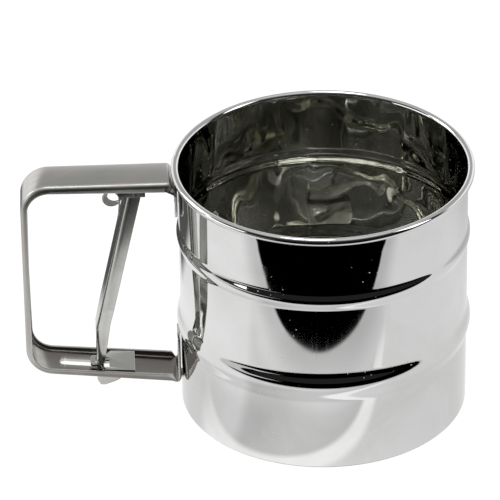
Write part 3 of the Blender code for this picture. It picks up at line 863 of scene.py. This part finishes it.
def build_handle(material):
    """Lipped strip bent to a loop, slotted below for the link and cut away round the link's way in."""
    path = handle_path()
    lengths = np.concatenate([[0], np.cumsum([(b - a).length for a, b in zip(path, path[1:])])])
    sections = []
    for spot, normal, length in zip(path, path_normals(path), lengths):
        depth = lip_depth(spot, length / lengths[-1])
        outline = channel_outline(strip_half_width(spot), depth, HANDLE_SHEET, 0.7)
        sections.append(section_at(spot + normal * HANDLE_SHEET / 2, -normal, outline))
    handle = loft("handle", sections)
    radius = GUIDE_SLOT_HALF_WIDTH
    slot = belt((GUIDE_SLOT[0] + radius, 0), radius, (GUIDE_SLOT[1] - radius, 0), radius, 16)
    arch = [(-3.9, 70), *arc((0, 80), (3.9, 3.9), 180, 0, 32), (3.9, 70)]
    cutters = [plate("slot", slot, 20, "XY", 13, edge=0), plate("arch", arch, 2, "YZ", FLANGE_X, edge=0)]
    handle = combined(handle, "DIFFERENCE", *cutters)
    place("handle_strip_bent", handle, material, "cup", ["handle_strip"], 40)


def build_bracket(strip_steel, pin_steel):
    """Small channel under the upper leg, and the lever's pin through it."""
    top = in_mm(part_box("pivot_bracket")[1].z)
    foot = in_mm(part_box("pivot_bracket")[0].z)
    left, right = (in_mm(corner.x - CUP_X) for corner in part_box("pivot_bracket"))
    outline = channel_outline(BRACKET_HALF_WIDTH, top - foot, BRACKET_SHEET, 0.4)
    sections = [[(x, across, top - deep) for deep, across in outline] for x in np.linspace(left, right, 3)]
    bore = rod(LEVER_BORE_RADIUS, (PIVOT_X, -10, PIVOT_Z), (PIVOT_X, 10, PIVOT_Z))
    bracket = combined(loft("bracket", sections), "DIFFERENCE", bore)
    place("pivot_bracket_bent", bracket, strip_steel, "cup", ["pivot_bracket"])

    reach, radius = BRACKET_HALF_WIDTH, LEVER_PIN_RADIUS
    half = [(0, reach), (radius * 0.75, reach), (radius, reach - 0.2)]
    outline = half + [(out, -along) for out, along in reversed(half)]
    pin = turned("pin", outline[::-1], 48)
    pin.transform(Matrix.Translation((PIVOT_X, 0, PIVOT_Z)) @ Matrix.Rotation(pi / 2, 4, "X"))
    place("lever_pin_turned", pin, pin_steel, "cup", ["lever_pin"])


# Trigger


def trigger_half_width(z):
    """Full width down to the knee, drawn in towards the head, then stepped down to the tongue."""
    heights = [*TONGUE_STEP, TRIGGER_NARROWS_Z]
    return float(np.interp(z, heights, [TONGUE_HALF_WIDTH, 3.4, TRIGGER_HALF_WIDTH]))


def trigger_section(z):
    """X of the outer face, depth of the sides, half width, web thickness and bend radius at height z."""
    face = max(-79.8, -67.83 - 0.219 * (85 - z))
    below_knee = TRIGGER_KNEE_Z - z
    back = -62.6 - 0.2275 * (85 - z) if below_knee < 0 else -74.66 - 0.137 * below_knee
    depth = back - face
    filling = min(1.0, max(0.0, (36 - z) / 12))
    web = TRIGGER_SHEET + (depth - TRIGGER_SHEET - 0.02) * filling
    return face, depth, trigger_half_width(z), web, TRIGGER_BEND


def trigger_outline(half, depth, web, bend):
    """Channel open towards the cup; the web thickens to a solid tongue as the sides close."""
    side_sheet = min(TRIGGER_SHEET, half * 0.6)
    bend = max(0.2, min(bend, half * 0.8, depth * 0.8))
    tip = 0.14
    turns = [pi / 2 * step / 8 for step in range(9)]
    side = [(bend - bend * cos(t), half - bend + bend * sin(t)) for t in turns]
    side += [(depth - tip, half), (depth, half - tip), (depth, half - side_sheet + tip * 0.5)]
    inner = max(0.0, min(bend - side_sheet, depth - web - tip))
    side += [(max(web + inner, depth - tip), half - side_sheet)]
    inner_half = half - side_sheet - 0.02
    side += [(web + inner - inner * sin(t), inner_half - inner + inner * cos(t)) for t in turns[::2]]
    return side + [(deep, -across) for deep, across in reversed(side)]


def build_trigger(material):
    """Folded lever, from its top at the pivot down to the tongue and its hooked foot."""
    levels = (9, *TONGUE_STEP, TRIGGER_NARROWS_Z + 1, 87.4)
    heights = set()
    for low, high, count in zip(levels, levels[1:], (5, 5, 36, 24)):
        heights |= set(np.linspace(low, high, count))
    sections = []
    for z in sorted(heights, reverse=True):
        face, depth, half, web, bend = trigger_section(z)
        outline = trigger_outline(half, depth, web, bend)
        sections.append([(face + deep, across, z) for deep, across in outline])
    lever = loft("lever", sections)
    foot = [
        (-79.75, 12), (-77.75, 12), (-76, 10), (-71.2, 7.4),
        (-73.5, 6.2), (-77, 5.0), (-78.6, 5.1), (-79.75, 7.2),
    ]
    hook = plate("hook", rounded_loop(foot, 0.35), FOOT_SHEET, edge=0.25)
    lever = combined(lever, "UNION", hook)
    inside = TRIGGER_HALF_WIDTH - TRIGGER_SHEET
    relief = block((-75, -inside, 83.4), (-55, inside, 92))
    bore = rod(LEVER_BORE_RADIUS, (PIVOT_X, -9, PIVOT_Z), (PIVOT_X, 9, PIVOT_Z))
    lever = combined(lever, "DIFFERENCE", relief, bore)
    place("trigger_lever_pressed", lever, material, "trigger", ["trigger_lever"], 40)


def spring_path():
    """Leg down the trigger's face, four and a half turns, and the leg under the handle."""
    turn_steps = 36
    points = [Vector((x, COIL_CENTRE.y, z)) for x, z in ((-70.85, 74.2), (-70.45, 76.5), (-70.25, 79.5))]
    steps = 4 * turn_steps + turn_steps // 2 + 3
    for step in range(steps):
        angle = 2 * pi * step / turn_steps
        outwards = Vector((cos(angle), 0, sin(angle)))
        points.append(COIL_CENTRE + outwards * COIL_RADIUS + COIL_PITCH * step / turn_steps)
    end = points[-1]
    for back, z in ((0.6, 85.2), (1.6, 87.6), (3.4, 88.15), (9.5, 88.15)):
        points.append(Vector((end.x - back, end.y, z)))
    return points, end


def build_spring(material):
    """Wound wire between the handle and the trigger."""
    points, coil_end = spring_path()
    curve = bpy.data.curves.new("spring", "CURVE")
    curve.dimensions = "3D"
    curve.bevel_depth = SPRING_WIRE_RADIUS
    curve.bevel_resolution = 4
    curve.use_fill_caps = True
    spline = curve.splines.new("POLY")
    spline.points.add(len(points) - 1)
    for point, spot in zip(spline.points, points):
        point.co = (*spot, 1)
    mesh = mesh_of(bpy.data.objects.new("spring", curve))
    piece = new_object("torsion_spring_wound", mesh, material, 60)
    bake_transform(piece)
    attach(piece, "cup")
    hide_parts("torsion_spring")


# Link


def link_head_z(x):
    """The head lies over the leg, a little less steep than it."""
    return 14.5 - HEAD_SLOPE * (x - LINK_TIP_X)


def link_head():
    """Plate with a hole that the tongue hooks behind, wider where the tongue was put in."""
    outline = [
        (-82.0, -2.2), (-81.4, -3.0), (-78.4, -3.0), (-77.6, -6.3), (-66.4, -6.3), (-66.4, 6.3),
        (-74.9, 6.3), (-76.8, 3.4), (-78.0, 3.0), (-81.4, 3.0), (-82.0, 2.2),
    ]
    hole = [(-80.3, -1.6), (-77.2, -1.6), (-77.2, -4.4), (-75.4, -4.4), (-75.4, 1.6), (-80.3, 1.6)]
    outline, hole = rounded_loop(outline, 0.25), rounded_loop(hole, 0.2)
    head = plate("head", outline, LINK_SHEET + 0.06, "XY", 0, [hole], edge=0.15)
    tilt = Matrix.Identity(4)
    tilt[2][0] = -HEAD_SLOPE
    tilt[2][3] = link_head_z(0)
    head.transform(tilt)
    return head


def link_strip():
    """Strip from inside the head, down the neck, under the leg and up a step to the arm."""
    under_leg = HANDLE_SHEET / 2 + 0.35 + LINK_SHEET / 2
    strip_end, step_foot, step_head, arm_x = -72.0, -36.5, -29.0, -25.0
    corners = [
        (strip_end, link_head_z(strip_end)), (NECK_X, link_head_z(NECK_X)),
        (NECK_X, lower_leg_z(NECK_X) - under_leg), (step_foot, lower_leg_z(step_foot) - under_leg),
        (step_head, LINK_DECK_Z), (arm_x, LINK_DECK_Z),
    ]
    path = densify(rounded(corners, [0.8, 0.8, 1.5, 1.5], 10), 0.4)
    thin, edge = LINK_SHEET / 2, 0.15
    sections = []
    for spot, normal in zip(path, path_normals(path)):
        half = NECK_HALF_WIDTH if spot[0] < NECK_X + 1.2 else STRIP_HALF_WIDTH
        near = [(-thin, edge - half), (edge - thin, -half), (thin - edge, -half), (thin, edge - half)]
        outline = near + [(deep, -across) for deep, across in reversed(near)]
        sections.append(section_at(spot, normal, outline))
    return loft("link", sections)


def build_link(material):
    """Head, strip and arm in one piece, with an oblong eye for the crank pin."""
    eye_y = CRANK.y - 0.55
    arm_outline = belt((-27, 0), 2.3, (CRANK.x, eye_y), 5.0, 40)
    arm = plate("arm", arm_outline, LINK_SHEET - 0.1, "XY", LINK_DECK_Z, edge=0.15)
    link = combined(link_strip(), "UNION", link_head(), arm)
    eye_ends = (CRANK.x, eye_y - 0.9), (CRANK.x, eye_y + 0.9)
    eye_outline = belt(eye_ends[0], EYE_RADIUS, eye_ends[1], EYE_RADIUS, 24)
    link = combined(link, "DIFFERENCE", plate("eye", eye_outline, 4, "XY", LINK_DECK_Z, edge=0))
    place("pull_link_stamped", link, material, "link", ["pull_link"], 40)


# Stage


def staged(name, mesh, material):
    """A part of the set, not of the sifter."""
    mesh.materials.append(material)
    piece = bpy.data.objects.new(name, mesh)
    bpy.context.scene.collection.objects.link(piece)
    return piece


def stage_square(name, reach, z, material):
    mesh = bpy.data.meshes.new(name)
    corners = [(x * reach, y * reach, z) for x, y in ((-1, -1), (1, -1), (1, 1), (-1, 1))]
    mesh.from_pydata(corners, [], [(0, 1, 2, 3)])
    return staged(name, mesh, material)


def glow(name, base, light):
    """Matt stage surface that also gives off an even light of its own."""
    material = bpy.data.materials.new(name)
    material.use_nodes = True
    shader = material.node_tree.nodes["Principled BSDF"]
    shader.inputs["Base Color"].default_value = (base, base, base, 1)
    shader.inputs["Roughness"].default_value = 1.0
    shader.inputs["Specular IOR Level"].default_value = 0.0
    shader.inputs["Emission Color"].default_value = (1, 1, 1, 1)
    shader.inputs["Emission Strength"].default_value = light
    return material


def unseen(obj, *rays):
    """Hide an object from the given kinds of ray."""
    for ray in rays:
        setattr(obj, f"visible_{ray}", False)


def stage_disc(name, radius, material, sphere=False):
    """Flat disc, or a whole sphere."""
    data = bmesh.new()
    if sphere:
        bmesh.ops.create_uvsphere(data, u_segments=48, v_segments=24, radius=radius)
    else:
        bmesh.ops.create_circle(data, cap_ends=True, segments=96, radius=radius)
    mesh = bpy.data.meshes.new(name)
    data.to_mesh(mesh)
    data.free()
    return staged(name, mesh, material)


def seen_table():
    """The table as the steel sees it: white as far as its front edge, with painted light and shade on it.

    The edge runs at a slight angle and bulges forward beside the cup. Near the cup the white is
    dimmer, more so on the left, as painted shade. In front there is a grey sector of painted shade
    with a bright strip of painted light along its right side. At the back it fades, is dark beside
    the grip, and is lit again far behind.
    """
    n = Nodes("table_seen_in_steel", 0.0)
    n.shader.inputs["Base Color"].default_value = (0, 0, 0, 1)
    n.shader.inputs["Specular IOR Level"].default_value = 0.0
    n.shader.inputs["Emission Color"].default_value = (1, 1, 1, 1)
    place_x, y, _ = n.axes()
    x = n.math("SUBTRACT", place_x, CUP_X)

    bulge = n.math("MINIMUM", n.product(x, x, 0.8), 0.011)
    ahead = n.total(y, n.product(x, 0.105), bulge)
    far_left = n.product(n.step(x, -0.33, -0.36), n.step(y, -0.6, -0.5))
    table = n.math("MAXIMUM", n.step(ahead, -0.1265, -0.1235), far_left)

    # Painted shade: a grey sector in front of the cup; painted light: a bright strip along its right side
    in_front = n.product(n.step(y, -0.01, -0.03), n.step(ahead, -0.1, -0.08))
    bearing = n.math("DIVIDE", x, n.math("ABSOLUTE", n.total(y, 0.01)))
    beside = n.total(n.product(x, 0.544), n.product(y, 0.841))
    sector = n.product(in_front, n.step(bearing, -1.7, -1.2), n.step(beside, -0.052, -0.056))
    strip = n.product(in_front, n.step(beside, -0.056, -0.052), n.step(beside, -0.042, -0.047))

    distance = n.math("SQRT", n.total(n.product(x, x), n.product(y, y)))
    # Painted shade on the table close to the cup, stronger on the left
    painted_shade_near_cup = n.product(n.step(distance, 0.1, 0.07), n.ramp(x, -0.05, -0.02, 0.2, 0.05))
    beside_grip = n.product(n.step(y, 0.065, 0.09), n.step(y, 0.21, 0.17), n.step(x, -0.072, -0.084))

    level = n.product(
        n.ramp(x, -0.02, 0.05, 1.1, 0.93), n.ramp(ahead, -0.12, -0.085, 0.7, 1.0),
        n.complement(painted_shade_near_cup), n.ramp(y, 0.02, 0.15, 1.0, 0.65),
    )
    level = n.total(level, n.ramp(y, 0.2, 0.3, 0.0, 0.4))
    level = n.product(level, n.complement(n.product(beside_grip, 0.88)))
    level = n.math("SUBTRACT", level, n.product(sector, 0.2))
    level = n.total(level, n.product(strip, 0.3))
    n.link(n.product(table, level), n.shader.inputs["Emission Strength"])
    return n.material


def build_stage():
    """A white table and sweep for the camera, and the same table in a dark room for reflections."""
    reach = 4.0
    table_z, floor_z, shade_z = -0.0006, -0.0005, -0.0003
    floor = stage_square("floor", reach, floor_z, glow("floor_white", 0.1, 0.98))
    unseen(floor, "glossy")
    table = stage_square("table", reach, table_z, seen_table())
    unseen(table, "camera", "diffuse", "shadow")
    shade = stage_disc("shade_under_cup", WALL * MM, glow("floor_shaded", 0.12, 0.01))
    shade.location = (CUP_X, 0, shade_z)
    dome = stage_disc("backdrop", reach, glow("backdrop_white", 0.0, 1.0), sphere=True)
    unseen(dome, "diffuse", "glossy", "transmission", "volume_scatter", "shadow")


SKY_BEHIND = ((0.0, 1.25), (0.33, 1.25), (0.43, 0.52), (0.6, 0.5), (0.8, 0.6), (1.0, 0.9))
SKY_AHEAD = ((0.0, 0.02), (0.4, 0.02), (0.7, 0.04), (0.86, 0.5), (1.0, 0.9))


def sky_ramp(tree, height, stops):
    """Grey level against height, from the horizon to overhead."""
    node = tree.nodes.new("ShaderNodeValToRGB")
    ends = node.color_ramp.elements
    for place_at, _ in stops[1:-1]:
        ends.new(place_at)
    for element, (place_at, level) in zip(ends, stops):
        element.position = place_at
        element.color = (level, level, level, 1)
    tree.links.new(height, node.inputs["Fac"])
    return node.outputs["Color"]


def build_world():
    """A white backdrop behind, a dark room in front and a broad light overhead."""
    world = bpy.data.worlds.new("studio")
    bpy.context.scene.world = world
    world.use_nodes = True
    tree = world.node_tree
    split = tree.nodes.new("ShaderNodeSeparateXYZ")
    tree.links.new(tree.nodes.new("ShaderNodeTexCoord").outputs["Generated"], split.inputs["Vector"])
    behind = sky_ramp(tree, split.outputs["Z"], SKY_BEHIND)
    ahead = sky_ramp(tree, split.outputs["Z"], SKY_AHEAD)
    turn = tree.nodes.new("ShaderNodeMapRange")
    turn.interpolation_type = "SMOOTHSTEP"
    turn.inputs["From Min"].default_value = -0.02
    turn.inputs["From Max"].default_value = 0.22
    tree.links.new(split.outputs["Y"], turn.inputs["Value"])
    mix = tree.nodes.new("ShaderNodeMix")
    mix.data_type = "RGBA"
    tree.links.new(turn.outputs["Result"], mix.inputs["Factor"])
    tree.links.new(ahead, mix.inputs["A"])
    tree.links.new(behind, mix.inputs["B"])
    tree.links.new(mix.outputs["Result"], tree.nodes["Background"].inputs["Color"])


WHOLE_MIDDLE = (0, 0, 0.05)
CUP_MIDDLE = (CUP_X, 0, 0.05)
SOFTBOXES = (
    ("right_softbox", (1.3, -0.4, 1.0), WHOLE_MIDDLE, (0.5, 0.9), 5),
    ("left_softbox", (-1.2, 0.6, 0.8), WHOLE_MIDDLE, (0.6, 0.6), 5),
    ("overhead_softbox", (CUP_X - 0.1, 0.15, 1.3), CUP_MIDDLE, (0.34, 0.22), 2.5),
    ("side_softbox", (CUP_X - 1.17, -0.27, 0.33), CUP_MIDDLE, (0.75, 0.42), 2),
)


def soft_light(name, place_at, aim, size, power):
    """Rectangular lamp facing its aim, with its sides in metres and its power in watts."""
    data = bpy.data.lights.new(name, "AREA")
    data.shape = "RECTANGLE"
    data.size, data.size_y = size
    data.energy = power
    light = bpy.data.objects.new(name, data)
    light.location = place_at
    light.rotation_euler = (Vector(aim) - Vector(place_at)).to_track_quat("-Z", "Y").to_euler()
    bpy.context.scene.collection.objects.link(light)


CAMERA_AZIMUTH = radians(-3.2)
CAMERA_ELEVATION = radians(31.5)
CAMERA_ROLL = radians(-0.75)
CAMERA_DISTANCE = 1.565
CAMERA_LENS = 323.4
AIM_LEFT = 0.0255
AIM_UP = 0.0103


def build_camera():
    """Long lens from slightly left of the front, looking down on the sifter."""
    azimuth, elevation = CAMERA_AZIMUTH, CAMERA_ELEVATION
    back = Vector((sin(azimuth) * cos(elevation), -cos(azimuth) * cos(elevation), sin(elevation)))
    right = Vector((cos(azimuth), sin(azimuth), 0))
    up = back.cross(right)
    cup_middle = Vector((CUP_X, 0, 0.045))
    aim = cup_middle - right * AIM_LEFT + up * AIM_UP
    data = bpy.data.cameras.new("camera")
    data.lens = CAMERA_LENS
    data.sensor_width = 36
    data.clip_end = 20
    camera = bpy.data.objects.new("camera", data)
    camera.location = cup_middle + back * CAMERA_DISTANCE
    facing = (aim - camera.location).to_track_quat("-Z", "Y").to_matrix().to_4x4()
    camera.matrix_world = Matrix.Translation(camera.location) @ facing @ Matrix.Rotation(CAMERA_ROLL, 4, "Z")
    bpy.context.scene.collection.objects.link(camera)
    bpy.context.scene.camera = camera


OUTSIDE = polished_steel("polished_steel", (0.66, 0.665, 0.66), (0.6, 0.6, 0.59), 0.35, 28)
# Inside steel: its wide light-to-shade tint is painted reflection streaks
INSIDE = polished_steel("polished_steel_inside", (0.84, 0.845, 0.79), (0.42, 0.415, 0.36), 6.0, 48)
SATIN = satin_steel()
LEVER = lever_steel()
STEEL = bright_steel()

build_cup(OUTSIDE, INSIDE)
build_screen_ring(STEEL)
build_sieve(sieve_wire())
build_washers(STEEL)
build_pins(STEEL)
build_agitator(STEEL)
build_handle(SATIN)
build_bracket(LEVER, STEEL)
build_trigger(LEVER)
build_spring(spring_wire())
build_link(LEVER)

build_stage()
build_world()
for softbox in SOFTBOXES:
    soft_light(*softbox)
build_camera()
bpy.context.scene.view_settings.view_transform = "Standard"
